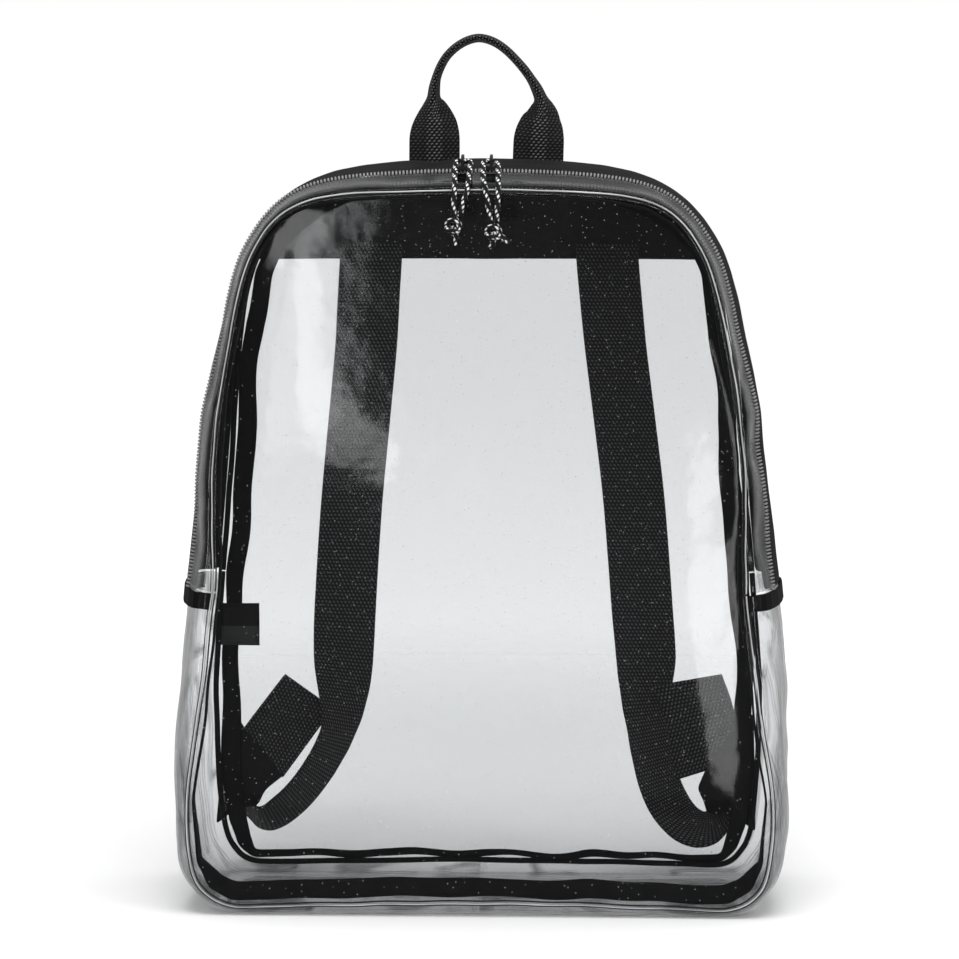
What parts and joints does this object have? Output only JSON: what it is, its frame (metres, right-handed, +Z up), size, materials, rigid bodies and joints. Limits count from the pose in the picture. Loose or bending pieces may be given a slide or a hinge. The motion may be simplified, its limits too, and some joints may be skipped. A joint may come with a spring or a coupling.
{
  "type": "clear backpack",
  "caption": "Upright clear vinyl backpack with black cloth edging, zipped arched top, webbing carry handle and hanging shoulder straps.",
  "frame": {"origin": "on the floor under the middle of the bag without its cord pulls", "axes": "+Z up, +X to the right seen from the front, -Y out of the front panel"},
  "size_m": [0.3098, 0.1598, 0.4343],
  "materials": {
    "clear_vinyl": "clear glossy sheet",
    "black_cloth": "matte woven cloth",
    "black_webbing": "ribbed webbing",
    "zipper_coil": "nylon coil",
    "flecked_cord": "black cord with white flecks",
    "slider_metal": "black paint"
  },
  "bodies": {
    "root": {"front_panel": "clear_vinyl", "back_panel": "clear_vinyl", "front_zip_strip": "clear_vinyl", "rear_zip_band": "black_cloth", "zipper_tape": "black_cloth", "zipper_coil": "zipper_coil", "lower_gusset": "clear_vinyl", "front_binding": "black_cloth", "back_binding": "black_cloth", "yoke": "black_cloth", "handle": "black_webbing", "strap_left": "black_webbing", "strap_right": "black_webbing", "anchor_web_left": "black_webbing", "anchor_web_right": "black_webbing", "strap_tab_left": "black_cloth", "strap_tab_right": "black_cloth", "zip_slider_left": "slider_metal", "zip_slider_right": "slider_metal", "zip_cord_left": "flecked_cord", "zip_cord_right": "flecked_cord", "zip_knot_left": "flecked_cord", "zip_knot_right": "flecked_cord", "join_band_right": "black_cloth", "join_band_left": "black_cloth", "side_tag": "black_cloth"}
  },
  "joints": []
}
